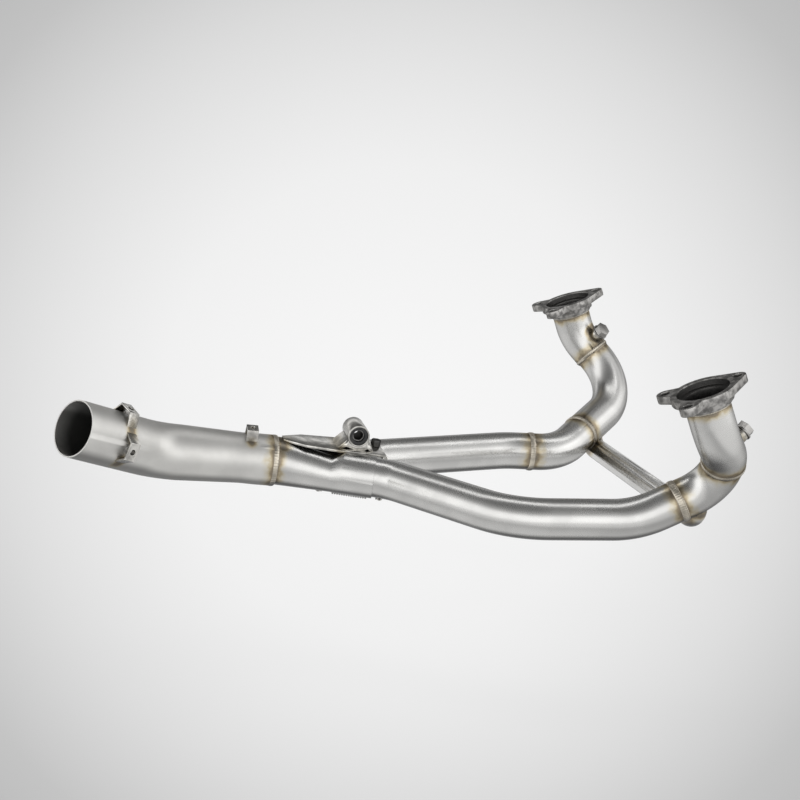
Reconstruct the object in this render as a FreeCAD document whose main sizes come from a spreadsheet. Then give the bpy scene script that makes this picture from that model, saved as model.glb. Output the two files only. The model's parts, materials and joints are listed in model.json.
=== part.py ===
"""Two-into-one exhaust header for a flat-twin motorcycle, as a parametric document.

Frame: millimetres, +X forwards along the motorcycle, +Y to its left, +Z up.
The origin is the middle of the rubber hanger bush, whose bore lies along Y.
"""
import FreeCAD, Part
import math
import os

import Sketcher

V = FreeCAD.Vector

DIMENSIONS = (
    # Header tubes and their welds
    ("header_od", 45.0),
    ("header_wall", 1.5),
    ("inlet_od", 47.5),
    ("inlet_wall", 2.0),
    ("bead_width", 5.0),
    ("bead_height", 0.9),
    # Axes of the two branches, from the merge to the slip joints
    ("merge_x", -92.0),
    ("merge_half_y", 7.0),
    ("merge_z", -29.0),
    ("mouth_x", 32.0),
    ("mouth_half_y", 40.0),
    ("mouth_z", -47.0),
    ("mouth_lip", 3.0),
    ("socket_length", 36.0),
    ("waist_at", 14.0),
    ("waist_od", 41.0),
    ("waist_drop", 3.5),
    ("slip_depth", 30.0),
    ("slip_clearance", 0.2),
    ("socket_wall", 1.5),
    # Right header, corner by corner
    ("right_spread_x", 137.0),
    ("right_spread_y", -178.0),
    ("right_spread_z", -52.0),
    ("right_run_x", 272.0),
    ("right_run_y", -188.0),
    ("right_run_z", -60.0),
    ("right_elbow_x", 376.0),
    ("right_elbow_y", -199.0),
    ("right_elbow_z", -14.0),
    ("right_neck_x", 336.0),
    ("right_neck_y", -239.0),
    ("right_neck_z", 46.0),
    ("right_face_x", 319.0),
    ("right_face_y", -236.0),
    ("right_face_z", 97.0),
    ("right_mouth_radius", 45.0),
    ("right_spread_radius", 90.0),
    ("right_run_radius", 110.0),
    ("right_elbow_radius", 47.0),
    ("right_neck_radius", 58.0),
    ("right_elbow_weld_gap", 13.0),
    ("right_inlet_weld_gap", 20.0),
    # Left header, corner by corner
    ("left_spread_x", 199.0),
    ("left_spread_y", 68.0),
    ("left_spread_z", -57.0),
    ("left_run_x", 265.0),
    ("left_run_y", 62.0),
    ("left_run_z", -63.0),
    ("left_elbow_x", 388.0),
    ("left_elbow_y", 165.0),
    ("left_elbow_z", -20.0),
    ("left_neck_x", 333.0),
    ("left_neck_y", 206.0),
    ("left_neck_z", 48.0),
    ("left_face_x", 319.0),
    ("left_face_y", 209.0),
    ("left_face_z", 97.0),
    ("left_mouth_radius", 110.0),
    ("left_spread_radius", 110.0),
    ("left_run_radius", 60.0),
    ("left_elbow_radius", 62.0),
    ("left_neck_radius", 62.0),
    ("left_lower_weld_gap", 9.0),
    ("left_elbow_weld_gap", 24.0),
    ("left_inlet_weld_gap", 7.0),
    # Crossover between the two headers
    ("crossover_od", 26.0),
    ("crossover_wall", 1.2),
    ("crossover_left_share", 0.49),
    ("crossover_left_drop", 31.0),
    ("crossover_right_share", 0.62),
    ("crossover_right_drop", 29.0),
    ("crossover_radius", 15.0),
    # Cylinder-head flanges
    ("flange_plate", 9.0),
    ("flange_rim_od", 70.0),
    ("flange_bore", 56.0),
    ("flange_seat_depth", 7.0),
    ("front_ear_reach", 39.0),
    ("rear_ear_reach", 43.0),
    ("ear_radius", 9.5),
    ("rear_ear_root", 20.0),
    ("ear_hole", 10.0),
    ("rear_ear_turn", 135.0),
    ("collar_od", 58.0),
    ("collar_height", 7.0),
    ("collar_toe_od", 52.0),
    ("collar_toe", 3.0),
    # Sensor bosses and their plugs
    ("boss_od", 18.0),
    ("boss_height", 6.0),
    ("boss_bore", 12.4),
    ("right_boss_drop", 85.0),
    ("left_boss_drop", 66.0),
    ("right_boss_turn", 32.0),
    ("left_boss_turn", -58.0),
    ("plug_thread", 12.0),
    ("plug_reach", 5.0),
    ("plug_rim_od", 20.5),
    ("plug_rim", 2.0),
    ("plug_across_corners", 19.0),
    ("plug_head", 7.0),
    # Merge collector and outlet pipe
    ("merge_od", 55.0),
    ("outlet_seam", 8.0),
    ("merge_stub", 20.0),
    ("outlet_wall", 1.5),
    ("outlet_start_z", -28.5),
    ("outlet_bend_x", -228.0),
    ("outlet_bend_z", -7.0),
    ("outlet_end_x", -315.5),
    ("outlet_end_y", -61.0),
    ("outlet_end_z", 42.5),
    ("outlet_radius", 75.0),
    ("outlet_socket_length", 18.0),
    ("outlet_throat_at", 34.0),
    ("outlet_throat_od", 57.5),
    ("outlet_od", 63.0),
    # Heat-shield brackets on the outlet pipe
    ("shield_from_end", 54.0),
    ("shield_upper_turn", -22.0),
    ("shield_lower_turn", -100.0),
    ("shield_width", 13.0),
    ("shield_top", 20.0),
    ("shield_foot", 36.0),
    ("shield_height", 9.0),
    ("shield_sheet", 2.0),
    ("shield_hole", 6.4),
    ("nut_across_corners", 11.5),
    ("nut_height", 4.5),
    ("tab_at", 34.0),
    ("tab_turn", -15.0),
    ("tab_width", 13.0),
    ("tab_top", 13.0),
    ("tab_foot", 20.0),
    ("tab_height", 12.0),
    # Rubber hanger
    ("hanger_od", 25.0),
    ("hanger_wall", 1.8),
    ("hanger_length", 38.0),
    ("bush_bore", 14.0),
    ("bush_inset", 1.0),
    ("spacer_bore", 11.0),
    ("spacer_inset", 5.0),
    ("plate_sheet", 2.5),
    ("plate_drop", 16.9),
    ("plate_slope", 10.6),
    ("plate_tail", 86.0),
    ("plate_tail_width", 14.0),
    ("plate_shoulder", 62.0),
    ("plate_shoulder_width", 42.0),
    ("plate_nose", 31.0),
    ("plate_width", 52.0),
    ("saddle_length", 34.0),
    ("saddle_rear_foot", 25.0),
    ("saddle_front_foot", 17.0),
    ("saddle_sheet", 2.5),
    ("plate_nut_corners", 12.0),
    ("plate_nut_height", 8.0),
    ("plate_nut_x", 24.5),
    ("plate_nut_y", 9.0),
    # Slip-joint springs and their tabs
    ("spring_od", 8.0),
    ("spring_root", 6.2),
    ("spring_pitch", 4.0),
    ("spring_wire", 1.8),
    ("lower_spring_reach", 62.0),
    ("upper_spring_reach", 33.0),
    ("spring_past_mouth", 9.0),
    ("spring_standoff", 5.2),
    ("lower_spring_hook", 15.0),
    ("upper_spring_hook", 9.0),
    ("right_lower_turn", -66.0),
    ("right_upper_turn", 32.0),
    ("left_lower_turn", -114.0),
    ("tab_plate", 3.0),
    ("tab_eye", 4.0),
    ("tab_eye_rim", 3.6),
    ("tab_base", 11.0),
)

# A foot starts this share of the way out from a tube's axis, and is then cut to the tube.
SUNK_SHARE = 0.8

DOCUMENT = FreeCAD.newDocument("twin_header")
SHEET = DOCUMENT.addObject("Spreadsheet::Sheet", "sizes")
NODES = []


def fill_sheet():
    """Write every driving dimension to the sheet, under its own alias."""
    for row, (alias, value) in enumerate(DIMENSIONS, start=1):
        SHEET.set(f"A{row}", alias)
        SHEET.set(f"B{row}", str(value))
        SHEET.setAlias(f"B{row}", alias)
    DOCUMENT.recompute()


def size(alias):
    """The value of one driving dimension."""
    return float(getattr(SHEET, alias))


def spot(prefix):
    """A corner from its three named coordinates."""
    return V(size(prefix + "_x"), size(prefix + "_y"), size(prefix + "_z"))


def unit(vector):
    """The vector at length one."""
    copy = V(vector)
    copy.normalize()
    return copy


def across(direction, axis):
    """The part of a direction that is square to an axis, at length one."""
    return unit(direction - axis * direction.dot(axis))


def turned(axis, reference, degrees):
    """A direction square to the axis, turned from the reference about the axis."""
    start = across(reference, axis)
    side = axis.cross(start)
    angle = math.radians(degrees)
    return start * math.cos(angle) + side * math.sin(angle)


def facing(point, z_axis, x_axis=None):
    """A placement at a point, with local Z and, if given, local X along directions."""
    if x_axis is None:
        return FreeCAD.Placement(point, FreeCAD.Rotation(V(0, 0, 1), z_axis))
    return FreeCAD.Placement(point, FreeCAD.Rotation(x_axis, V(), z_axis, "ZXY"))


class Route:
    """A tube's centre line: straight runs joined by tangent arcs."""

    def __init__(self, corners, radii):
        self.spans = []
        self.bends = []
        self.length = 0.0
        start = corners[0]
        for before, corner, after, radius in zip(corners, corners[1:], corners[2:], radii):
            entry = unit(corner - before)
            leave = unit(after - corner)
            angle = entry.getAngle(leave)
            reach = radius * math.tan(angle / 2)
            self._add_line(start, corner - entry * reach)
            bend_start = self.length
            self._add_arc(corner - entry * reach, entry, across(leave, entry), radius, angle)
            self.bends.append((bend_start, self.length))
            start = corner + leave * reach
        self._add_line(start, corners[-1])

    def _add_line(self, start, end):
        run = (end - start).Length
        self.spans.append((self.length, run, "line", (start, unit(end - start))))
        self.length += run

    def _add_arc(self, start, entry, inward, radius, angle):
        run = radius * angle
        self.spans.append((self.length, run, "arc", (start + inward * radius, entry, inward, radius)))
        self.length += run

    def _span(self, at):
        for span in self.spans:
            if at <= span[0] + span[1]:
                return span
        return self.spans[-1]

    @staticmethod
    def _on(span, at):
        begin, _, kind, data = span
        if kind == "line":
            start, direction = data
            return start + direction * (at - begin), direction
        centre, entry, inward, radius = data
        angle = (at - begin) / radius
        point = centre + entry * (radius * math.sin(angle)) - inward * (radius * math.cos(angle))
        return point, entry * math.cos(angle) + inward * math.sin(angle)

    def point(self, at):
        """The point a distance along the centre line."""
        return self._on(self._span(at), at)[0]

    def direction(self, at):
        """The direction of travel a distance along the centre line."""
        return self._on(self._span(at), at)[1]

    def wire(self, start, end):
        """The stretch of the centre line between two distances."""
        edges = []
        for span in self.spans:
            low = max(start, span[0])
            high = min(end, span[0] + span[1])
            if high - low < 1e-6:
                continue
            first = self._on(span, low)[0]
            last = self._on(span, high)[0]
            if span[2] == "line":
                edges.append(Part.LineSegment(first, last).toShape())
            else:
                middle = self._on(span, (low + high) / 2)[0]
                edges.append(Part.Arc(first, middle, last).toShape())
        return Part.Wire(edges)


def ring(name, route, at, radius):
    """A circle square to the route, its radius given as an expression."""
    circle = DOCUMENT.addObject("Part::Circle", name)
    circle.setExpression("Radius", radius)
    circle.Placement = facing(route.point(at), route.direction(at))
    return circle


def swept(name, route, start, end, radius):
    """A round bar along a stretch of a route."""
    path = DOCUMENT.addObject("Part::Feature", name + "_path")
    path.Shape = route.wire(start, end)
    bar = DOCUMENT.addObject("Part::Sweep", name)
    bar.Sections = [ring(name + "_ring", route, start, radius)]
    bar.Spine = (path, [f"Edge{i}" for i in range(1, len(path.Shape.Edges) + 1)])
    bar.Solid = True
    bar.Frenet = False
    return bar


def lofted(name, rings, ruled=False):
    """A solid through several circles."""
    bar = DOCUMENT.addObject("Part::Loft", name)
    bar.Sections = rings
    bar.Solid = True
    bar.Ruled = ruled
    return bar


def rod(name, place, radius, height):
    """A cylinder along local Z, its sizes given as expressions."""
    bar = DOCUMENT.addObject("Part::Cylinder", name)
    bar.setExpression("Radius", radius)
    bar.setExpression("Height", height)
    bar.Placement = place
    return bar


def hexagon(name, place, across_corners, height):
    """A six-sided bar along local Z, its sizes given as expressions."""
    bar = DOCUMENT.addObject("Part::Prism", name)
    bar.Polygon = 6
    bar.setExpression("Circumradius", across_corners + " / 2")
    bar.setExpression("Height", height)
    bar.Placement = place
    return bar


def fused(name, shapes):
    """Several shapes joined into one."""
    union = DOCUMENT.addObject("Part::MultiFuse", name)
    union.Shapes = shapes
    return union


def cut(name, base, tool):
    """A shape with another taken away."""
    result = DOCUMENT.addObject("Part::Cut", name)
    result.Base = base
    result.Tool = tool
    return result


def node(label, item):
    """Name a finished sub-part."""
    item.Label = label
    NODES.append(item)
    return item


def cone(name, place, first, last, height):
    """A cone along local Z, its sizes given as expressions."""
    bar = DOCUMENT.addObject("Part::Cone", name)
    bar.setExpression("Radius1", first)
    bar.setExpression("Radius2", last)
    bar.setExpression("Height", height)
    bar.Placement = place
    return bar


def bead(name, route, at, radius, before):
    """A weld bead round a tube, as two low cones, just before or just after a joint."""
    crest = f"{radius} + sizes.bead_height"
    foot = f"{radius} - sizes.header_wall / 4"
    direction = route.direction(at)
    start = route.point(at) - direction * (size("bead_width") if before else 0.0)
    middle = start + direction * (size("bead_width") / 2)
    half = "sizes.bead_width / 2"
    return [cone(name + "_rise", facing(start, direction), foot, crest, half),
            cone(name + "_fall", facing(middle, direction), crest, foot, half)]


def tube(label, route, start, end, radius, wall, beads=()):
    """A hollow tube node along a route, with its weld beads; returns its solid outside."""
    outside = swept(label + "_outside", route, start, end, radius)
    parts = [outside]
    for index, (at, before) in enumerate(beads):
        parts += bead(f"{label}_bead{index}", route, at, radius, before)
    skin = fused(label + "_skin", parts) if beads else outside
    inside = swept(label + "_inside", route, start, end, f"{radius} - {wall}")
    node(label, cut(label + "_tube", skin, inside))
    return skin


def origin_plane(body, role):
    """One of a body's own origin planes."""
    return next(item for item in body.Origin.OriginFeatures if item.Role == role)


def new_sketch(body, name, lift=0.0):
    """A sketch on the body's own XY plane, lifted along Z."""
    sketch = body.newObject("Sketcher::SketchObject", name)
    sketch.AttachmentSupport = [(origin_plane(body, "XY_Plane"), "")]
    sketch.MapMode = "FlatFace"
    sketch.AttachmentOffset = FreeCAD.Placement(V(0, 0, lift), FreeCAD.Rotation())
    return sketch


def draw_circle(sketch, centre, radius):
    """A circle whose radius is bound to an expression."""
    circle = Part.Circle(centre, V(0, 0, 1), 1.0)
    index = sketch.addGeometry(circle)
    if centre.Length < 1e-9:
        sketch.addConstraint(Sketcher.Constraint("Coincident", index, 3, -1, 1))
    row = sketch.addConstraint(Sketcher.Constraint("Radius", index, 1.0))
    sketch.setExpression(f"Constraints[{row}]", radius)


def draw_outline(sketch, points):
    """A closed outline of straight edges."""
    first = None
    before = None
    for start, end in zip(points, points[1:] + points[:1]):
        index = sketch.addGeometry(Part.LineSegment(start, end))
        if before is not None:
            sketch.addConstraint(Sketcher.Constraint("Coincident", before, 2, index, 1))
        else:
            first = index
        before = index
    sketch.addConstraint(Sketcher.Constraint("Coincident", before, 2, first, 1))


def draw_ear(sketch, turn, inner, reach, outer):
    """An ear: two lines tangent to a round root and to its rounded end, turned about the centre."""
    lean = math.acos((inner - outer) / reach)
    spin = FreeCAD.Rotation(V(0, 0, 1), turn)
    rim = [spin.multVec(V(inner * math.cos(lean), s * inner * math.sin(lean), 0)) for s in (1, -1)]
    tip = [spin.multVec(V(reach + outer * math.cos(lean), s * outer * math.sin(lean), 0)) for s in (1, -1)]
    crown = spin.multVec(V(reach + outer, 0, 0))
    sketch.addGeometry(Part.LineSegment(rim[0], tip[0]))
    sketch.addGeometry(Part.Arc(tip[0], crown, tip[1]))
    sketch.addGeometry(Part.LineSegment(tip[1], rim[1]))
    sketch.addGeometry(Part.LineSegment(rim[1], rim[0]))


def pad(body, sketch, length, reverse=False, midplane=False):
    """A sketch raised to a solid, its length bound to an expression."""
    feature = body.newObject("PartDesign::Pad", sketch.Name + "_pad")
    feature.Profile = sketch
    feature.setExpression("Length", length)
    feature.Reversed = reverse
    feature.Midplane = midplane
    return feature


def pocket(body, sketch, length, midplane=False):
    """A sketch sunk into the solid below it, its depth bound to an expression."""
    feature = body.newObject("PartDesign::Pocket", sketch.Name + "_pocket")
    feature.Profile = sketch
    feature.setExpression("Length", length)
    feature.Midplane = midplane
    return feature


def flange(side, route):
    """A three-eared flange with a collar below it, facing along the end of its route."""
    label = side + "_flange"
    body = DOCUMENT.addObject("PartDesign::Body", label + "_body")
    rim = new_sketch(body, label + "_rim")
    draw_circle(rim, V(), "sizes.flange_rim_od / 2")
    pad(body, rim, "sizes.flange_plate", reverse=True)
    rear = (size("rear_ear_root"), size("rear_ear_reach"))
    ears = (("front", 0.0, size("flange_rim_od") / 2, size("front_ear_reach")),
            ("rear_left", size("rear_ear_turn"), *rear), ("rear_right", -size("rear_ear_turn"), *rear))
    for name, turn, root, reach in ears:
        ear = new_sketch(body, f"{label}_{name}_ear")
        draw_ear(ear, turn, root, reach, size("ear_radius"))
        pad(body, ear, "sizes.flange_plate", reverse=True)
    collar = new_sketch(body, label + "_collar", -size("flange_plate"))
    draw_circle(collar, V(), "sizes.collar_od / 2")
    pad(body, collar, "sizes.collar_height", reverse=True)
    toe = new_sketch(body, label + "_toe", -size("flange_plate") - size("collar_height"))
    draw_circle(toe, V(), "sizes.collar_toe_od / 2")
    pad(body, toe, "sizes.collar_toe", reverse=True)
    seat = new_sketch(body, label + "_seat")
    draw_circle(seat, V(), "sizes.flange_bore / 2")
    pocket(body, seat, "sizes.flange_seat_depth")
    bore = new_sketch(body, label + "_bore")
    draw_circle(bore, V(), "sizes.inlet_od / 2 - sizes.inlet_wall")
    pocket(body, bore, "sizes.flange_plate + sizes.collar_height + sizes.collar_toe")
    for name, turn, _, reach in ears:
        hole = new_sketch(body, f"{label}_{name}_hole")
        centre = FreeCAD.Rotation(V(0, 0, 1), turn).multVec(V(reach, 0, 0))
        draw_circle(hole, centre, "sizes.ear_hole / 2")
        pocket(body, hole, "sizes.flange_plate")
    end = route.length
    normal = route.direction(end)
    body.Placement = facing(route.point(end), normal, across(V(1, 0, 0), normal))
    return node(label, body)


def sensor_boss(side, route, outside):
    """A threaded boss on an inlet tube, shaped to the tube, and the plug that closes it."""
    at = route.length - size(side + "_boss_drop")
    out = turned(route.direction(at), V(1, 0, 0), size(side + "_boss_turn"))
    centre = route.point(at)
    seat = size("inlet_od") / 2 + size("boss_height")
    label = side + "_sensor_boss"
    root = facing(centre, out)
    length = "sizes.inlet_od / 2 + sizes.boss_height"
    blank = rod(label + "_blank", root, "sizes.boss_od / 2", length)
    bored = cut(label + "_bored", blank, rod(label + "_bore", root, "sizes.boss_bore / 2", length))
    node(label, cut(label + "_saddle", bored, outside))
    label = side + "_sensor_plug"
    rim_place = facing(centre + out * seat, out)
    shank_place = facing(centre + out * (seat - size("plug_reach")), out)
    head_place = facing(centre + out * (seat + size("plug_rim")), out)
    node(label, fused(label + "_whole", [
        rod(label + "_shank", shank_place, "sizes.plug_thread / 2", "sizes.plug_reach"),
        rod(label + "_rim", rim_place, "sizes.plug_rim_od / 2", "sizes.plug_rim"),
        hexagon(label + "_head", head_place, "sizes.plug_across_corners", "sizes.plug_head"),
    ]))


def collector(right, left, outlet, mouth):
    """Two sockets that run together into one round outlet, hollow all the way."""
    outer_r = "sizes.header_od / 2 + sizes.slip_clearance + sizes.socket_wall"
    inner_r = "sizes.header_od / 2 + sizes.slip_clearance"
    root = mouth - size("socket_length")
    shells = {}
    for kind, branch_r, waist_r, end_r in (
            ("outside", outer_r, "sizes.waist_od / 2", "sizes.merge_od / 2"),
            ("inside", inner_r, "sizes.waist_od / 2 - sizes.socket_wall",
             "sizes.merge_od / 2 - sizes.socket_wall")):
        parts = []
        for side, route in (("right", right), ("left", left)):
            name = f"{side}_branch_{kind}"
            waist = ring(name + "_waist", route, root - size("waist_at"), waist_r)
            waist.Placement.Base = waist.Placement.Base - V(0, 0, size("waist_drop"))
            parts.append(lofted(name + "_neck", [ring(name + "_root", route, root, branch_r), waist], ruled=True))
            parts.append(lofted(name + "_merge", [waist, ring(name + "_end", outlet, 0.0, end_r)]))
            place = facing(route.point(root), route.direction(root))
            parts.append(rod(name + "_socket", place, branch_r, "sizes.socket_length"))
        place = facing(outlet.point(0.0), outlet.direction(0.0))
        parts.append(rod("merge_stub_" + kind, place, end_r, "sizes.merge_stub"))
        shells[kind] = fused("merge_" + kind, parts)
    outside = shells["outside"]
    toe = facing(outlet.point(size("outlet_seam") - size("bead_width")), outlet.direction(0.0))
    seam = cone("merge_weld", toe, "sizes.merge_od / 2 - sizes.socket_wall / 2",
                "sizes.merge_od / 2 + sizes.slip_clearance + sizes.outlet_wall", "sizes.bead_width")
    skin = fused("merge_skin", [outside, seam])
    node("merge_collector", cut("merge_shell", skin, shells["inside"]))
    return skin


def outlet_pipe(route):
    """A belled socket, a long cone and a bend, hollow; returns its solid outside."""
    wall = "sizes.outlet_wall"
    socket_r = "sizes.merge_od / 2 + sizes.slip_clearance + sizes.outlet_wall"
    throat_r = "sizes.outlet_throat_od / 2"
    outlet_r = "sizes.outlet_od / 2"
    bend_start = route.bends[0][0]
    seam = size("outlet_seam")
    stations = ((seam, socket_r), (seam + size("outlet_socket_length"), socket_r),
                (seam + size("outlet_throat_at"), throat_r), (bend_start, outlet_r))
    shells = {}
    for kind, less in (("outside", ""), ("inside", f" - {wall}")):
        rings = [ring(f"outlet_{kind}_{i}", route, at, r + less) for i, (at, r) in enumerate(stations)]
        cone = lofted(f"outlet_cone_{kind}", rings, ruled=True)
        bend = swept(f"outlet_bend_{kind}", route, bend_start, route.length, outlet_r + less)
        shells[kind] = fused("outlet_" + kind, [cone, bend])
    node("outlet_pipe", cut("outlet_shell", shells["outside"], shells["inside"]))
    return shells["outside"]


def hat_outline(top, foot, height, sheet, surface):
    """The edge of a bent strip: two sloping legs and a flat top, above a tube's surface."""
    crest = surface + height
    low = surface * SUNK_SHARE
    run = (foot - top) / 2
    lean = run / (crest - low)
    slant = sheet * math.hypot(1.0, lean)
    drop = slant - sheet * lean
    outer = [V(-foot / 2, low, 0), V(-top / 2, crest, 0), V(top / 2, crest, 0), V(foot / 2, low, 0)]
    inner = [V(foot / 2 - slant, low, 0), V(top / 2 - drop, crest - sheet, 0),
             V(-top / 2 + drop, crest - sheet, 0), V(-foot / 2 + slant, low, 0)]
    return outer + inner


def hat_bracket(label, route, at, turn, prefix, surface, outside):
    """A hat-shaped bracket that stands on a pipe, with a hole through its flat top."""
    axis = route.direction(at)
    out = turned(axis, V(0, 0, 1), turn)
    body = DOCUMENT.addObject("PartDesign::Body", label + "_body")
    strip = new_sketch(body, label + "_strip")
    draw_outline(strip, hat_outline(size(prefix + "_top"), size(prefix + "_foot"),
                                    size(prefix + "_height"), size("shield_sheet"), surface))
    pad(body, strip, f"sizes.{prefix}_width", midplane=True)
    body.Placement = facing(route.point(at), axis, out.cross(axis))
    seated = cut(label + "_seated", body, outside)
    crest = surface + size(prefix + "_height")
    hole = rod(label + "_hole", facing(route.point(at) + out * surface, out),
               "sizes.shield_hole / 2", f"2 * sizes.{prefix}_height")
    node(label, cut(label + "_bracket", seated, hole))
    return facing(route.point(at) + out * (crest - size("shield_sheet")), out * -1)


def nut(label, place, corners, height):
    """A hexagon nut along local Z, its sizes given as expressions."""
    blank = hexagon(label + "_blank", place, corners, height)
    bore = rod(label + "_bore", place, "sizes.shield_hole / 2", height)
    return node(label, cut(label + "_nut", blank, bore))


def plate_frame():
    """The placement of the hanger plate's upper face."""
    slope = math.radians(size("plate_slope"))
    along = V(math.cos(slope), 0, -math.sin(slope))
    normal = V(math.sin(slope), 0, math.cos(slope))
    return facing(V(0, 0, -size("plate_drop")), normal, along)


def hanger(outside):
    """The bridge plate, the saddle on it, and the sleeve with its rubber bush and spacer."""
    frame = plate_frame()
    body = DOCUMENT.addObject("PartDesign::Body", "hanger_plate_body")
    outline = new_sketch(body, "hanger_plate_outline")
    half = [(-size("plate_tail"), size("plate_tail_width") / 2),
            (-size("plate_shoulder"), size("plate_shoulder_width") / 2),
            (-size("saddle_rear_foot"), size("plate_width") / 2),
            (size("plate_nose"), size("plate_width") / 2)]
    points = [V(x, -y, 0) for x, y in half] + [V(x, y, 0) for x, y in reversed(half)]
    draw_outline(outline, points)
    pad(body, outline, "sizes.plate_sheet", reverse=True)
    body.Placement = frame
    node("hanger_plate", cut("hanger_plate_seated", body, outside))

    radius = size("hanger_od") / 2
    tip = size("hanger_length") / 2
    across_y = facing(V(0, -tip, 0), V(0, 1, 0))
    outer = "sizes.hanger_od / 2"
    bore = "sizes.hanger_od / 2 - sizes.hanger_wall"
    sleeve = rod("hanger_sleeve_outside", across_y, outer, "sizes.hanger_length")
    hollow = rod("hanger_sleeve_bore", across_y, bore, "sizes.hanger_length")
    node("hanger_sleeve", cut("hanger_sleeve_tube", sleeve, hollow))
    for label, inset, big, small in (
            ("hanger_bush", "bush_inset", bore, "sizes.bush_bore / 2"),
            ("hanger_spacer", "spacer_inset", "sizes.bush_bore / 2", "sizes.spacer_bore / 2")):
        place = facing(V(0, -tip + size(inset), 0), V(0, 1, 0))
        length = f"sizes.hanger_length - 2 * sizes.{inset}"
        blank = rod(label + "_outside", place, big, length)
        node(label, cut(label + "_ring", blank, rod(label + "_bore", place, small, length)))

    slope = math.tan(math.radians(size("plate_slope")))
    sheet = size("saddle_sheet")

    def deck(x):
        return V(x, -size("plate_drop") - slope * x, 0)

    rear = -size("saddle_rear_foot")
    front = size("saddle_front_foot")
    body = DOCUMENT.addObject("PartDesign::Body", "hanger_saddle_body")
    block = new_sketch(body, "hanger_saddle_block")
    shoulder = radius - sheet / 4
    draw_outline(block, [deck(rear), V(-shoulder, -sheet, 0), V(shoulder, -sheet, 0), deck(front)])
    pad(body, block, "sizes.saddle_length", midplane=True)
    for name, foot, hand in (("rear", rear, -1.0), ("front", front, 1.0)):
        window = new_sketch(body, f"hanger_saddle_{name}_window")
        heel = foot - hand * sheet * math.sqrt(2)
        under = hand * radius / 2
        peak = deck((heel + under) / 2) + V(0, sheet, 0)
        draw_outline(window, [deck(heel), peak, deck(under)])
        pocket(body, window, "sizes.saddle_length * 2", midplane=True)
    body.Placement = facing(V(), V(0, -1, 0), V(1, 0, 0))
    node("hanger_saddle", cut("hanger_saddle_seated", body, sleeve))
    at = FreeCAD.Placement(V(size("plate_nut_x"), size("plate_nut_y"), 0), FreeCAD.Rotation())
    nut("plate_nut", frame.multiply(at), "sizes.plate_nut_corners", "sizes.plate_nut_height")


def spring_tab(label, point, axis, out, surface, outside):
    """A flat tab on a tube, rounded at its end, with an eye for the spring's hook."""
    body = DOCUMENT.addObject("PartDesign::Body", label + "_body")
    outline = new_sketch(body, label + "_outline")
    rim = size("tab_eye_rim")
    reach = size("spring_standoff") + surface
    foot = size("tab_base") / 2
    low = surface * SUNK_SHARE
    corners = [V(low, foot, 0), V(reach, rim, 0), V(reach, -rim, 0), V(low, -foot, 0)]
    outline.addGeometry(Part.LineSegment(corners[0], corners[1]))
    outline.addGeometry(Part.Arc(corners[1], V(reach + rim, 0, 0), corners[2]))
    outline.addGeometry(Part.LineSegment(corners[2], corners[3]))
    outline.addGeometry(Part.LineSegment(corners[3], corners[0]))
    pad(body, outline, "sizes.tab_plate", midplane=True)
    eye = new_sketch(body, label + "_eye")
    draw_circle(eye, V(reach, 0, 0), "sizes.tab_eye / 2")
    pocket(body, eye, "sizes.tab_plate * 2", midplane=True)
    body.Placement = facing(point, out.cross(axis), out)
    node(label, cut(label + "_seated", body, outside))


def spring(label, route, turn, reach, hook, mouth, header_outside, merge_outside):
    """A close-wound spring across a slip joint, hooked into a tab at either end."""
    axis = route.direction(mouth)
    out = turned(axis, V(0, 1, 0), turn)
    socket_r = size("header_od") / 2 + size("slip_clearance") + size("socket_wall")
    line = socket_r + size("spring_standoff")
    base = route.point(mouth)
    front = base + axis * size("spring_past_mouth")
    rear = base - axis * reach
    spring_tab(label + "_front_tab", front, axis, out, socket_r, header_outside)
    spring_tab(label + "_rear_tab", rear, axis, out, socket_r, merge_outside)
    run = size("spring_past_mouth") + reach - 2 * hook
    turns = max(2, round(run / size("spring_pitch")))
    step = run / turns
    crest = size("spring_od") / 2
    root = size("spring_root") / 2
    profile = [V(0, 0, 0), V(root, 0, 0)]
    for index in range(turns):
        profile.append(V(crest, (index + 0.5) * step, 0))
        profile.append(V(root, (index + 1) * step, 0))
    profile.append(V(0, run, 0))
    body = DOCUMENT.addObject("PartDesign::Body", label + "_coil_body")
    outline = new_sketch(body, label + "_coil_outline")
    draw_outline(outline, profile)
    coil = body.newObject("PartDesign::Revolution", label + "_coil")
    coil.Profile = outline
    coil.ReferenceAxis = (outline, ["V_Axis"])
    coil.Angle = 360
    start = rear + out * line + axis * hook
    side = out.cross(axis)
    body.Placement = FreeCAD.Placement(start, FreeCAD.Rotation(side, axis, V(), "YXZ"))
    parts = [body]
    beside = size("tab_plate") / 2 + size("spring_wire") * 0.65
    turn_r = beside - size("tab_plate") / 2
    slack = (size("tab_eye") - size("spring_wire")) / 2
    for name, eye, heading in (("front", front, axis), ("rear", rear, axis * -1)):
        tip = eye + out * line - heading * slack
        corners = [tip - heading * (hook + size("spring_wire")) - side * beside,
                   tip - side * beside,
                   tip + side * (size("tab_plate") / 2 + size("spring_wire"))]
        bent = Route(corners, [turn_r])
        parts.append(swept(f"{label}_{name}_hook", bent, 0.0, bent.length, "sizes.spring_wire / 2"))
    node(label, fused(label + "_whole", parts))


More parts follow.
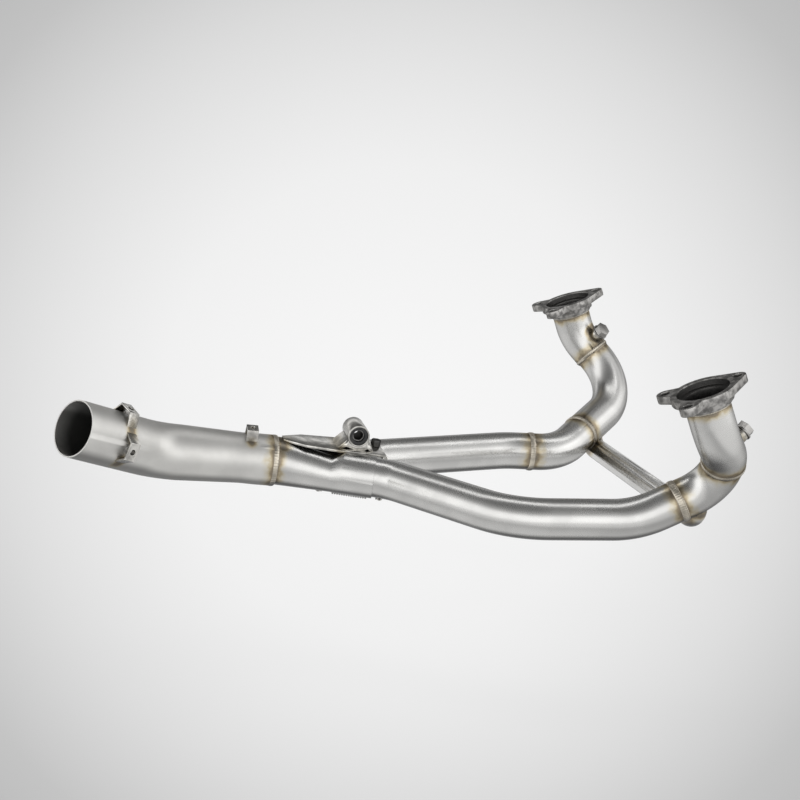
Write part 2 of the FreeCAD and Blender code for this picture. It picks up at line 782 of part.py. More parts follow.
def build():
    """Make every sub-part."""
    header_r = "sizes.header_od / 2"
    inlet_r = "sizes.inlet_od / 2"
    wall = "sizes.header_wall"
    routes = {}
    for side, hand in (("right", -1.0), ("left", 1.0)):
        merge = V(size("merge_x"), hand * size("merge_half_y"), size("merge_z"))
        mouth_corner = V(size("mouth_x"), hand * size("mouth_half_y"), size("mouth_z"))
        corners = [spot(f"{side}_{name}") for name in ("spread", "run", "elbow", "neck", "face")]
        radii = [size(f"{side}_{name}_radius") for name in ("mouth", "spread", "run", "elbow", "neck")]
        routes[side] = Route([merge, mouth_corner] + corners, radii)
    right = routes["right"]
    left = routes["left"]
    outlet_bend = V(size("outlet_bend_x"), 0, size("outlet_bend_z"))
    outlet = Route([V(size("merge_x"), 0, size("outlet_start_z")), outlet_bend, spot("outlet_end")],
                   [size("outlet_radius")])
    mouth = min(right.bends[0][0], left.bends[0][0]) - size("mouth_lip")
    first = mouth - size("slip_depth")
    flange_under = size("flange_plate") + size("collar_height") + size("collar_toe")
    outsides = {}

    tops = {side: route.length - flange_under for side, route in routes.items()}
    welds = {"right": (right.bends[3][0] - size("right_elbow_weld_gap"),
                       right.bends[3][1] - size("right_inlet_weld_gap")),
             "left": (left.bends[2][1] + size("left_elbow_weld_gap"),
                      left.bends[3][1] + size("left_inlet_weld_gap"))}
    for side, route in routes.items():
        low, high = welds[side]
        top = tops[side]
        outsides[side + "_inlet"] = tube(side + "_inlet_tube", route, high, top, inlet_r, "sizes.inlet_wall")
        outsides[side + "_elbow"] = tube(side + "_elbow", route, low, high, header_r, wall,
                                         beads=((low, False), (high, True)))
        flange(side, route)
        sensor_boss(side, route, outsides[side + "_inlet"])
    outsides["right_header"] = tube("right_header_tube", right, first, welds["right"][0], header_r, wall)
    lower_start = left.bends[2][0] - size("left_lower_weld_gap")
    outsides["left_lower"] = tube("left_lower_bend", left, lower_start, welds["left"][0], header_r, wall,
                                  beads=((lower_start, False),))
    outsides["left_header"] = tube("left_header_tube", left, first, lower_start, header_r, wall)

    merge_outside = collector(right, left, outlet, mouth)
    pipe_outside = outlet_pipe(outlet)
    hanger(merge_outside)

    ends = {}
    for side in ("left", "right"):
        run = spot(side + "_run")
        axis = run + (spot(side + "_elbow") - run) * size(f"crossover_{side}_share")
        ends[side] = [axis, axis - V(0, 0, size(f"crossover_{side}_drop"))]
    crossover = Route(ends["left"] + ends["right"][::-1], [size("crossover_radius")] * 2)
    outer = swept("crossover_outside", crossover, 0.0, crossover.length, "sizes.crossover_od / 2")
    inner = swept("crossover_inside", crossover, 0.0, crossover.length,
                  "sizes.crossover_od / 2 - sizes.crossover_wall")
    neighbours = fused("crossover_neighbours", [outsides[name] for name in (
        "right_header", "right_elbow", "left_elbow", "left_lower")])
    node("crossover_tube", cut("crossover_fitted", cut("crossover_pipe", outer, inner), neighbours))

    at = outlet.length - size("shield_from_end")
    surface = size("outlet_od") / 2
    for name in ("upper", "lower"):
        seat = hat_bracket(f"shield_bracket_{name}", outlet, at, size(f"shield_{name}_turn"), "shield",
                           surface, pipe_outside)
        nut(f"shield_nut_{name}", seat, "sizes.nut_across_corners", "sizes.nut_height")
    hat_bracket("outlet_tab", outlet, size("tab_at"), size("tab_turn"), "tab",
                size("outlet_throat_od") / 2, pipe_outside)

    for side, level in (("right", "lower"), ("right", "upper"), ("left", "lower")):
        spring(f"{side}_{level}_spring", routes[side], size(f"{side}_{level}_turn"),
               size(level + "_spring_reach"), size(level + "_spring_hook"), mouth,
               outsides[side + "_header"], merge_outside)


def check():
    """Stop if any object failed or any sub-part is not one valid solid."""
    DOCUMENT.recompute()
    for item in DOCUMENT.Objects:
        if "Invalid" in item.State or "Error" in item.State:
            raise RuntimeError(f"{item.Label} did not build: {item.State}")
    for item in NODES:
        shape = item.Shape
        if shape.isNull() or not shape.isValid():
            raise RuntimeError(f"{item.Label} has no valid shape")
        if len(shape.Solids) != 1:
            raise RuntimeError(f"{item.Label} has {len(shape.Solids)} solids")


def write():
    """Write each sub-part to its own file."""
    os.makedirs("parts", exist_ok=True)
    for item in NODES:
        item.Shape.exportStep(f"parts/{item.Label}.step")
        print(f"{item.Label}: {item.Shape.Volume / 1000:.1f} cm3")


fill_sheet()
build()
check()
write()
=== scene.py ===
import json
import logging
import math
from collections.abc import Callable
from dataclasses import dataclass, field
from enum import Enum

import bpy
from mathutils import Matrix, Vector


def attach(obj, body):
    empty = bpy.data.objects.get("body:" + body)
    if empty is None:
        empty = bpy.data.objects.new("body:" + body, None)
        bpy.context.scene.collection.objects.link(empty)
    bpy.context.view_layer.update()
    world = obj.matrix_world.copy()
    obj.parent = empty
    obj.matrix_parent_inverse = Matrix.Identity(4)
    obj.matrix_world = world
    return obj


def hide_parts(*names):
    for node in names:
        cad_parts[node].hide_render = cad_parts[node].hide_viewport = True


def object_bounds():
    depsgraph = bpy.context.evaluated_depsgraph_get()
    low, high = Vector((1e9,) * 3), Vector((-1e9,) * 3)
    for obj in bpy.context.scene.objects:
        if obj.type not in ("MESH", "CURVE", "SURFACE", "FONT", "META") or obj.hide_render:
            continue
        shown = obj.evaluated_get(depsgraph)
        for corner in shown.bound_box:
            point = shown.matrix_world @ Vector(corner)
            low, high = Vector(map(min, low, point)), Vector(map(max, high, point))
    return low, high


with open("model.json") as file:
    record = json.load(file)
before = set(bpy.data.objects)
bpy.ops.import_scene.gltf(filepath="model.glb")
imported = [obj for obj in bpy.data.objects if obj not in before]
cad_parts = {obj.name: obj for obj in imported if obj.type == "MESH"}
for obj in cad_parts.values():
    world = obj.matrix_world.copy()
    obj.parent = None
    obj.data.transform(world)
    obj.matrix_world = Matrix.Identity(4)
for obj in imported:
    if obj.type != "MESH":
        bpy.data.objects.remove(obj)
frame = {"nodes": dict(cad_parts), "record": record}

LOG = logging.getLogger("header")
MM = 0.001
CAD_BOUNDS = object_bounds()


def unit(vector: Vector) -> Vector:
    """The vector at length one."""
    return vector.normalized()


def across(direction: Vector, axis: Vector) -> Vector:
    """The part of a direction that is square to an axis, at length one."""
    return unit(direction - axis * direction.dot(axis))


def turned(axis: Vector, reference: Vector, degrees: float) -> Vector:
    """Turn a reference direction about an axis.

    Args:
        axis: Axis to turn about, at length one.
        reference: Direction that stands for zero degrees.
        degrees: Angle by the right-hand rule.

    Returns:
        A direction square to the axis.
    """
    return Matrix.Rotation(math.radians(degrees), 3, axis) @ across(reference, axis)


def upright(point: Vector, z_axis: Vector, x_axis: Vector) -> Matrix:
    """A placement from a point and two directions.

    Args:
        point: Where the local origin goes.
        z_axis: Direction of local Z.
        x_axis: Rough direction of local X.

    Returns:
        The placement as a matrix.
    """
    x_dir = across(x_axis, z_axis)
    y_dir = z_axis.cross(x_dir)
    turn = Matrix((x_dir, y_dir, z_axis)).transposed()
    return Matrix.Translation(point) @ turn.to_4x4()


@dataclass(frozen=True)
class Route:
    """Centre line of a tube: straight runs joined by tangent arcs, in millimetres."""

    corners: tuple[tuple[float, float, float], ...]
    radii: tuple[float, ...]

    def spans(self) -> list[tuple[float, float, Vector, Vector, Vector | None, float]]:
        """Split the line into runs and arcs.

        Returns:
            Start, length, start point, start direction, inward direction and radius of each span.
        """
        points = [Vector(corner) for corner in self.corners]
        found = []
        start = points[0]
        at = 0.0
        for before, corner, after, radius in zip(points, points[1:], points[2:], self.radii):
            entry = unit(corner - before)
            leave = unit(after - corner)
            angle = entry.angle(leave)
            reach = radius * math.tan(angle / 2)
            end = corner - entry * reach
            found.append((at, (end - start).length, start, entry, None, 0.0))
            at += (end - start).length
            found.append((at, radius * angle, end, entry, across(leave, entry), radius))
            at += radius * angle
            start = corner + leave * reach
        last = points[-1] - start
        found.append((at, last.length, start, unit(last), None, 0.0))
        return found

    def length(self) -> float:
        """Length of the whole line in millimetres."""
        at, run = self.spans()[-1][:2]
        return at + run

    def bend(self, index: int) -> tuple[float, float]:
        """Where a bend starts and ends along the line."""
        at, run = self.spans()[2 * index + 1][:2]
        return at, at + run

    def seat(self, at: float) -> tuple[Vector, Vector]:
        """Find a place along the line.

        Args:
            at: Distance along the line in millimetres.

        Returns:
            The point in metres and the direction of travel.
        """
        spans = self.spans()
        span = next((s for s in spans if at <= s[0] + s[1]), spans[-1])
        begin, _, start, entry, inward, radius = span
        if inward is None:
            return (start + entry * (at - begin)) * MM, entry
        angle = (at - begin) / radius
        centre = start + inward * radius
        point = centre + entry * (radius * math.sin(angle)) - inward * (radius * math.cos(angle))
        return point * MM, entry * math.cos(angle) + inward * math.sin(angle)


RIGHT_ROUTE = Route(
    ((-92, -7, -29), (32, -40, -47), (137, -178, -52), (272, -188, -60), (376, -199, -14), (336, -239, 46),
     (319, -236, 97)),
    (45, 90, 110, 47, 58))
LEFT_ROUTE = Route(
    ((-92, 7, -29), (32, 40, -47), (199, 68, -57), (265, 62, -63), (388, 165, -20), (333, 206, 48),
     (319, 209, 97)),
    (110, 110, 60, 62, 62))
OUTLET_ROUTE = Route(((-92, 0, -28.5), (-228, 0, -7), (-315.5, -61, 42.5)), (75,))
HEADER_RADIUS = 22.5
INLET_RADIUS = 23.75
MERGE_RADIUS = 27.5
FLANGE_DEPTH = 19.0
MOUTH_SETBACK = 3.0
OUTLET_BORE = (30.7, 90.0)
PORT_SEAT = (28.4, 7.6)
PORT_THROAT = (22.2, 45.0)
EAR_HOLE = (5.5, 10.0)
EAR_PLACES = ((0.0, 39.0), (135.0, 43.0), (-135.0, 43.0))
SPACER_BORE = (5.8, 28.0)
SPACER_END = 14.0
HEAT_MARGIN = 8.0
HEAT_ROUGHNESS = 0.06
# Roughness added inside bores with their painted shade.
BORE_SHADE_ROUGHNESS = 0.12
# Metallic taken off faces turned downwards, as painted shade.
UNDER_SHADE_METAL = -0.85
GRAIN_HEIGHT = 0.0004
WELD_START = Vector((0.3, 0.5, 0.8))


def grey(value: float) -> tuple[float, float, float]:
    """A neutral colour of one value."""
    return value, value, value


class NodeTree:
    """A node tree with short calls to add and link nodes."""

    def __init__(self, tree: bpy.types.NodeTree) -> None:
        """Keep the tree to work on."""
        self.tree = tree

    def add(self, kind: str, **settings: object) -> bpy.types.Node:
        """Add a node.

        Args:
            kind: Node type, such as ShaderNodeMath.
            settings: Attributes to set on the node.

        Returns:
            The new node.
        """
        node = self.tree.nodes.new(kind)
        for name, value in settings.items():
            setattr(node, name, value)
        return node

    def feed(self, socket: bpy.types.NodeSocket, value: object) -> None:
        """Link another socket to this one, or set its value."""
        if isinstance(value, bpy.types.NodeSocket):
            self.tree.links.new(value, socket)
        else:
            socket.default_value = value

    def math(self, operation: str, *values: object) -> bpy.types.NodeSocket:
        """A Math node's result from sockets or numbers."""
        node = self.add("ShaderNodeMath", operation=operation)
        for socket, value in zip(node.inputs, values):
            self.feed(socket, value)
        return node.outputs[0]

    def vector(self, operation: str, *values: object) -> bpy.types.Node:
        """A Vector Math node fed from sockets or vectors."""
        node = self.add("ShaderNodeVectorMath", operation=operation)
        for socket, value in zip(node.inputs, values):
            self.feed(socket, value)
        return node

    def ramp(self, value: object, stops: tuple[tuple[float, tuple[float, ...]], ...]) -> bpy.types.NodeSocket:
        """A colour ramp.

        Args:
            value: Socket that drives the ramp.
            stops: Positions and colours.

        Returns:
            The ramp's colour socket.
        """
        node = self.add("ShaderNodeValToRGB")
        elements = node.color_ramp.elements
        while len(elements) < len(stops):
            elements.new(0.5)
        for element, (position, colour) in zip(elements, stops):
            element.position = position
            element.color = (*colour[:3], 1.0)
        self.feed(node.inputs[0], value)
        return node.outputs[0]

    def span(self, value: object, low: float, high: float, first: float, last: float) -> bpy.types.NodeSocket:
        """A smooth, clamped map of one range to another."""
        node = self.add("ShaderNodeMapRange", interpolation_type="SMOOTHSTEP")
        for socket, item in zip(node.inputs, (value, low, high, first, last)):
            self.feed(socket, item)
        return node.outputs[0]

    def strongest(self, group: bpy.types.NodeTree, places: list[tuple[object, ...]]) -> bpy.types.NodeSocket:
        """Place a group once for each row of values and keep the highest result.

        Args:
            group: Node group with one output.
            places: Values of the group's inputs, in order.

        Returns:
            The highest of the outputs.
        """
        best = None
        for values in places:
            node = self.add("ShaderNodeGroup", node_tree=group)
            for socket, value in zip(node.inputs, values):
                socket.default_value = value
            best = node.outputs[0] if best is None else self.math("MAXIMUM", best, node.outputs[0])
        return best

    def mix(self, factor: object, first: object, second: object, blend: str = "MIX") -> bpy.types.NodeSocket:
        """A colour mix of two sockets or colours."""
        node = self.add("ShaderNodeMix", data_type="RGBA", blend_type=blend)
        self.feed(node.inputs[0], factor)
        for socket, value in zip((node.inputs[6], node.inputs[7]), (first, second)):
            self.feed(socket, value if isinstance(value, bpy.types.NodeSocket) else (*value[:3], 1.0))
        return node.outputs[2]


def new_group(name: str, inputs: dict[str, tuple[str, object]], outputs: dict[str, str]) -> NodeTree:
    """Start a shader node group.

    Args:
        name: Name of the group.
        inputs: Socket types and default values by name.
        outputs: Socket types by name.

    Returns:
        The group's tree.
    """
    tree = bpy.data.node_groups.new(name, "ShaderNodeTree")
    for label, (kind, value) in inputs.items():
        socket = tree.interface.new_socket(label, in_out="INPUT", socket_type=kind)
        socket.default_value = value
    for label, kind in outputs.items():
        tree.interface.new_socket(label, in_out="OUTPUT", socket_type=kind)
    return NodeTree(tree)


class Effects:
    """Shader node groups that several finishes share."""

    def __init__(self) -> None:
        """Build each group once."""
        self.heat = self._heat()
        self.bore = self._bore()
        self.satin = self._satin()

    @staticmethod
    def _heat() -> bpy.types.NodeTree:
        """How strongly the heat of one weld has coloured the steel, from 0 to 1."""
        group = new_group(
            "weld_heat",
            {"Place": ("NodeSocketVector", (0.0, 0.0, 0.0)), "Axis": ("NodeSocketVector", (0.0, 0.0, 1.0)),
             "Reach": ("NodeSocketFloat", 0.016), "Radius": ("NodeSocketFloat", 0.04),
             "Fade": ("NodeSocketFloat", 0.9)},
            {"Heat": "NodeSocketFloat"})
        given = group.add("NodeGroupInput")
        where = group.add("ShaderNodeTexCoord").outputs["Object"]
        ripple = group.add("ShaderNodeTexNoise")
        group.feed(ripple.inputs["Vector"], where)
        ripple.inputs["Scale"].default_value = 90.0
        ripple.inputs["Detail"].default_value = 3.0
        offset = group.vector("SUBTRACT", where, given.outputs["Place"]).outputs[0]
        dot = group.vector("DOT_PRODUCT", offset, given.outputs["Axis"])
        along = group.math("ABSOLUTE", dot.outputs["Value"])
        drift = group.math("SUBTRACT", ripple.outputs["Fac"], 0.5)
        swing = group.math("MULTIPLY", drift, given.outputs["Reach"])
        share = group.math("DIVIDE", group.math("ADD", along, swing), given.outputs["Reach"])
        near = group.span(share, 0.0, 1.0, 1.0, 0.0)
        far = group.math("DIVIDE", group.vector("LENGTH", offset).outputs["Value"], given.outputs["Radius"])
        inside = group.span(far, given.outputs["Fade"], 1.2, 1.0, 0.0)
        out = group.add("NodeGroupOutput")
        group.feed(out.inputs["Heat"], group.math("MULTIPLY", near, inside))
        return group.tree

    @staticmethod
    def _bore() -> bpy.types.NodeTree:
        """Where a surface lies inside a round bore, fading in from its mouth."""
        group = new_group(
            "bore_shade",
            {"Place": ("NodeSocketVector", (0.0, 0.0, 0.0)), "Axis": ("NodeSocketVector", (0.0, 0.0, 1.0)),
             "Radius": ("NodeSocketFloat", 0.02), "Depth": ("NodeSocketFloat", 0.04)},
            {"Inside": "NodeSocketFloat"})
        given = group.add("NodeGroupInput")
        where = group.add("ShaderNodeTexCoord").outputs["Object"]
        offset = group.vector("SUBTRACT", given.outputs["Place"], where).outputs[0]
        sunk = group.vector("DOT_PRODUCT", offset, given.outputs["Axis"]).outputs["Value"]
        aside = group.vector("CROSS_PRODUCT", offset, given.outputs["Axis"]).outputs[0]
        reach = group.vector("LENGTH", aside)
        within = group.math("LESS_THAN", reach.outputs["Value"], given.outputs["Radius"])
        above = group.math("LESS_THAN", sunk, given.outputs["Depth"])
        deep = group.span(group.math("DIVIDE", sunk, given.outputs["Depth"]), 0.0, 0.25, 0.0, 1.0)
        out = group.add("NodeGroupOutput")
        group.feed(out.inputs["Inside"], group.math("MULTIPLY", group.math("MULTIPLY", within, above), deep))
        return group.tree

    @staticmethod
    def _satin() -> bpy.types.NodeTree:
        """Fine polishing grain, cloudy wear and painted shade on the downward-facing side of a satin metal.
        """
        group = new_group(
            "satin_metal",
            {"Grain Scale": ("NodeSocketFloat", 900.0), "Cloud Scale": ("NodeSocketFloat", 25.0)},
            {"Grain": "NodeSocketFloat", "Cloud": "NodeSocketFloat", "Under Shade": "NodeSocketFloat"})
        given = group.add("NodeGroupInput")
        texture = group.add("ShaderNodeTexCoord")
        where = texture.outputs["Object"]
        found = {}
        for label, scale, detail in (("Grain", given.outputs["Grain Scale"], 4.0),
                                     ("Cloud", given.outputs["Cloud Scale"], 5.0)):
            noise = group.add("ShaderNodeTexNoise")
            group.feed(noise.inputs["Vector"], where)
            group.feed(noise.inputs["Scale"], scale)
            noise.inputs["Detail"].default_value = detail
            found[label] = noise.outputs["Fac"]
        # Painted shade: a mask that rises as the surface faces further down, standing in for a dark
        # reflection from beneath.
        facing = group.add("ShaderNodeSeparateXYZ")
        group.feed(facing.inputs[0], texture.outputs["Normal"])
        found["Under Shade"] = group.span(facing.outputs["Z"], -0.42, -0.74, 0.0, 1.0)
        out = group.add("NodeGroupOutput")
        for label, socket in found.items():
            group.feed(out.inputs[label], socket)
        return group.tree


@dataclass(frozen=True)
class Weld:
    """A weld round a tube: its place, direction, bead size and the reach of its heat."""

    name: str
    point: Vector
    axis: Vector
    radius: float
    half_width: float = 2.6
    reach: float = 16.0
    fade: float = 0.9


def header_welds() -> list[Weld]:
    """Every weld on the tubes.

    Returns:
        The welds, from the flanges back to the outlet.
    """
    right, left = RIGHT_ROUTE, LEFT_ROUTE
    return [
        Weld("right_flange_weld", *right.seat(right.length() - FLANGE_DEPTH), INLET_RADIUS, 1.8, 12.0),
        Weld("right_inlet_weld", *right.seat(right.bend(3)[1] - 20.0), INLET_RADIUS - 0.6, 2.4),
        Weld("right_elbow_weld", *right.seat(right.bend(3)[0] - 13.0), HEADER_RADIUS, 4.2, 19.0),
        Weld("left_flange_weld", *left.seat(left.length() - FLANGE_DEPTH), INLET_RADIUS, 1.8, 12.0),
        Weld("left_inlet_weld", *left.seat(left.bend(3)[1] + 7.0), INLET_RADIUS - 0.6, 2.2),
        Weld("left_elbow_weld", *left.seat(left.bend(2)[1] + 24.0), HEADER_RADIUS, 3.0, 18.0),
        Weld("left_lower_weld", *left.seat(left.bend(2)[0] - 9.0), HEADER_RADIUS, 3.8, 19.0),
        Weld("outlet_weld", *OUTLET_ROUTE.seat(5.5), MERGE_RADIUS + 0.9, 3.4, 15.0),
    ]


def heat_marks() -> list[Weld]:
    """Patches of heat colour round the feet of small welded pieces.

    Returns:
        The patches, as welds without a bead of their own.
    """
    found = []
    end = OUTLET_ROUTE.length()
    for name, at, turn, foot, stand, size in (("upper_shield", end - 54.0, -22.0, 34.0, 31.5, 6.0),
                                              ("lower_shield", end - 54.0, -100.0, 34.0, 31.5, 6.0),
                                              ("tab", 34.0, -15.0, 20.0, 28.7, 0.5)):
        point, axis = OUTLET_ROUTE.seat(at)
        for hand in (-1.0, 1.0):
            out = turned(axis, Vector((0, 0, 1)), turn + hand * foot)
            found.append(Weld(f"{name}_foot", point + out * (stand * MM), axis, size, reach=12.0, fade=0.2))
    for name, route, drop, turn in (("right", RIGHT_ROUTE, 85.0, 32.0), ("left", LEFT_ROUTE, 66.0, -58.0)):
        point, axis = route.seat(route.length() - drop)
        out = turned(axis, Vector((1, 0, 0)), turn)
        found.append(Weld(f"{name}_boss", point + out * (INLET_RADIUS * MM), out, 9.0, reach=7.0))
    for name, place, reach, size in (("left_crossover", (325.3, 112.5, -64.0), 13.0, 16.0),
                                     ("right_crossover", (336.5, -194.8, -54.0), 12.0, 16.0),
                                     ("plate_tail", (-86.0, 0.0, -3.0), 14.0, 14.0),
                                     ("saddle_foot", (-24.0, 0.0, -10.0), 11.0, 20.0)):
        axis = Vector((0, 0, 1)) if "crossover" in name else Vector((1, 0, 0))
        found.append(Weld(name, Vector(place) * MM, axis, size, reach=reach))
    return found


@dataclass(frozen=True)
class Bore:
    """The inside of an open end, darkened with painted shade: its mouth, outward axis, radius and depth."""

    point: Vector
    axis: Vector
    radius: float
    depth: float


def open_ends() -> list[Bore]:
    """The open ends whose inside shows, darkened with painted shade.

    Returns:
        The outlet, the seat, throat and ear holes of each flange, and the hanger's spacer.
    """
    found = [Bore(*OUTLET_ROUTE.seat(OUTLET_ROUTE.length()), *OUTLET_BORE)]
    for route in (RIGHT_ROUTE, LEFT_ROUTE):
        point, axis = route.seat(route.length())
        found += [Bore(point, axis, *PORT_SEAT), Bore(point, axis, *PORT_THROAT)]
        for turn, reach in EAR_PLACES:
            out = turned(axis, Vector((1, 0, 0)), turn)
            found.append(Bore(point + out * (reach * MM), axis, *EAR_HOLE))
    for hand in (-1.0, 1.0):
        axis = Vector((0.0, hand, 0.0))
        found.append(Bore(axis * (SPACER_END * MM), axis, *SPACER_BORE))
    return found


class Slot(Enum):
    """Material slots of the record."""

    TUBE = "stainless_tube"
    FLANGE = "flange_steel"
    SHEET = "stainless_sheet"
    RUBBER = "rubber"
    PLATED = "plated_steel"
    SPRING = "spring_steel"


@dataclass(frozen=True)
class MetalFinish:
    """A metal with satin grain, cloudy wear, painted shade on its downward faces and inside bores and, on
    tubes, weld heat.
    """

    name: str
    colour: tuple[float, float, float]
    roughness: float
    spread: float = 0.08
    cloud: float = 0.12
    bump: float = 0.05
    grain_scale: float = 900.0
    cloud_scale: float = 25.0
    under_shade: float = 0.05
    painted_bore_shade: float = 0.16
    edge: float = 0.4
    tint: tuple[tuple[float, tuple[float, float, float]], ...] = ()

    def material(self, effects: Effects, welds: list[Weld], bores: list[Bore]) -> bpy.types.Material:
        """Build the material.

        Args:
            effects: Shared node groups.
            welds: Welds whose heat shows on this finish.
            bores: Open ends whose inside gets painted shade.

        Returns:
            The finished material.
        """
        made = bpy.data.materials.new(self.name)
        made.use_nodes = True
        tree = NodeTree(made.node_tree)
        shader = made.node_tree.nodes["Principled BSDF"]
        shader.inputs["Specular Tint"].default_value = (self.edge, self.edge, self.edge, 1.0)
        satin = tree.add("ShaderNodeGroup", node_tree=effects.satin)
        satin.inputs["Grain Scale"].default_value = self.grain_scale
        satin.inputs["Cloud Scale"].default_value = self.cloud_scale
        dull = tuple(value * (1.0 - self.cloud) for value in self.colour)
        colour = tree.mix(tree.span(satin.outputs["Cloud"], 0.35, 0.65, 0.0, 1.0), self.colour, dull)
        # Painted shade: faces that turn downwards are darkened, standing in for a dark reflection from
        # beneath.
        colour = tree.mix(satin.outputs["Under Shade"], colour, tuple(value * self.under_shade for value in self.colour))
        rough = tree.math("ADD", self.roughness - self.spread / 2,
                          tree.math("MULTIPLY", satin.outputs["Cloud"], self.spread))
        grain = tree.math("SUBTRACT", satin.outputs["Grain"], 0.5)
        rough = tree.math("ADD", rough, tree.math("MULTIPLY", grain, self.spread))
        if self.tint:
            heat = tree.strongest(effects.heat, [
                (weld.point, weld.axis, weld.reach * MM, (weld.radius + HEAT_MARGIN) * MM, weld.fade)
                for weld in welds])
            colour = tree.mix(1.0, colour, tree.ramp(heat, self.tint), "MULTIPLY")
            rough = tree.math("ADD", rough, tree.math("MULTIPLY", heat, HEAT_ROUGHNESS))
        # Painted shade: the inside of each bore is darkened, fading in from its mouth, and made rougher.
        inside = tree.strongest(effects.bore, [
            (bore.point, bore.axis, bore.radius * MM, bore.depth * MM) for bore in bores])
        colour = tree.mix(inside, colour, tuple(value * self.painted_bore_shade for value in self.colour))
        rough = tree.math("ADD", rough, tree.math("MULTIPLY", inside, BORE_SHADE_ROUGHNESS))
        tree.feed(shader.inputs["Base Color"], colour)
        tree.feed(shader.inputs["Roughness"], rough)
        # Painted shade: faces that turn downwards also lose most of their metal sheen.
        metal = tree.math("MULTIPLY_ADD", satin.outputs["Under Shade"], UNDER_SHADE_METAL, 1.0)
        tree.feed(shader.inputs["Metallic"], metal)
        bump = tree.add("ShaderNodeBump")
        bump.inputs["Strength"].default_value = self.bump
        bump.inputs["Distance"].default_value = GRAIN_HEIGHT
        tree.feed(bump.inputs["Height"], satin.outputs["Grain"])
        tree.feed(shader.inputs["Normal"], bump.outputs[0])
        return made


@dataclass(frozen=True)
class RubberFinish:
    """Matt rubber with a fine pebbled skin and pale dust."""

    name: str
    colour: tuple[float, float, float]
    dust: tuple[float, float, float]

    def material(self, effects: Effects, welds: list[Weld], bores: list[Bore]) -> bpy.types.Material:
        """Build the material.

        Args:
            effects: Shared node groups.
            welds: Not used by rubber.
            bores: Not used by rubber.

        Returns:
            The finished material.
        """
        made = bpy.data.materials.new(self.name)
        made.use_nodes = True
        tree = NodeTree(made.node_tree)
        shader = made.node_tree.nodes["Principled BSDF"]
        satin = tree.add("ShaderNodeGroup", node_tree=effects.satin)
        satin.inputs["Grain Scale"].default_value = 1500.0
        satin.inputs["Cloud Scale"].default_value = 120.0
        worn = tree.span(satin.outputs["Cloud"], 0.45, 0.75, 0.0, 0.8)
        tree.feed(shader.inputs["Base Color"], tree.mix(worn, self.colour, self.dust))
        tree.feed(shader.inputs["Roughness"], tree.span(satin.outputs["Grain"], 0.2, 0.8, 0.5, 0.75))
        bump = tree.add("ShaderNodeBump")
        bump.inputs["Strength"].default_value = 0.2
        bump.inputs["Distance"].default_value = 0.0003
        tree.feed(bump.inputs["Height"], satin.outputs["Grain"])
        tree.feed(shader.inputs["Normal"], bump.outputs[0])
        return made


HEAT_TINT = (
    (0.0, (1.0, 1.0, 1.0)),
    (0.3, (0.96, 0.91, 0.8)),
    (0.58, (0.8, 0.7, 0.51)),
    (0.8, (0.48, 0.4, 0.29)),
    (1.0, (0.38, 0.34, 0.28)),
)
SHEET_TINT = ((0.0, (1.0, 1.0, 1.0)), (0.5, (0.93, 0.9, 0.84)), (1.0, (0.6, 0.56, 0.48)))
FINISHES = {
    Slot.TUBE: MetalFinish("satin_stainless_tube", (0.63, 0.625, 0.61), 0.28, tint=HEAT_TINT),
    Slot.FLANGE: MetalFinish("dull_flange_steel", (0.42, 0.41, 0.395), 0.4, 0.25, 0.6, 0.35, 420.0, 150.0),
    Slot.SHEET: MetalFinish("satin_stainless_sheet", (0.66, 0.645, 0.61), 0.2, 0.16, 0.4, 0.08, 900.0, 110.0,
                            edge=0.7, tint=SHEET_TINT),
    Slot.RUBBER: RubberFinish("hanger_rubber", (0.022, 0.022, 0.023), (0.05, 0.049, 0.047)),
    Slot.PLATED: MetalFinish("plated_fastener_steel", (0.4, 0.39, 0.375), 0.33, 0.1, 0.25),
    Slot.SPRING: MetalFinish("drawn_spring_wire", (0.36, 0.352, 0.34), 0.28, 0.1, 0.2),
}
BEAD_FINISH = MetalFinish("weld_bead_steel", (0.62, 0.57, 0.48), 0.36, 0.15, 0.45, 0.12, 700.0, 70.0,
                          edge=0.7)
# The outlet keeps more of its colour in the painted shade on its downward faces.
OUTLET_FINISH = MetalFinish("blasted_outlet_tube", (0.655, 0.647, 0.624), 0.48, under_shade=0.3, tint=HEAT_TINT)
CROSSOVER_FINISH = MetalFinish("satin_crossover_tube", (0.63, 0.625, 0.61), 0.28, edge=0.95,
                               tint=HEAT_TINT)
NUT_FINISH = MetalFinish("blackened_nut_steel", (0.1, 0.098, 0.095), 0.38, 0.1, 0.3)


def deselect() -> None:
    """Leave nothing selected and no mesh in edit mode."""
    if bpy.context.object and bpy.context.object.mode != "OBJECT":
        bpy.ops.object.mode_set(mode="OBJECT")
    bpy.ops.object.select_all(action="DESELECT")


def active(name: str) -> bpy.types.Object:
    """Name the active object and return it."""
    made = bpy.context.object
    made.name = name
    made.data.name = name
    return made


def settle(piece: bpy.types.Object, place: Matrix) -> None:
    """Move a piece to its place and put that place in its mesh."""
    piece.matrix_world = place
    deselect()
    piece.select_set(True)
    bpy.context.view_layer.objects.active = piece
    bpy.ops.object.transform_apply(location=True, rotation=True, scale=True)


def smooth(piece: bpy.types.Object, degrees: float) -> None:
    """Shade a piece smooth, with sharp edges above an angle."""
    deselect()
    piece.select_set(True)
    bpy.context.view_layer.objects.active = piece
    bpy.ops.object.shade_smooth_by_angle(angle=math.radians(degrees))


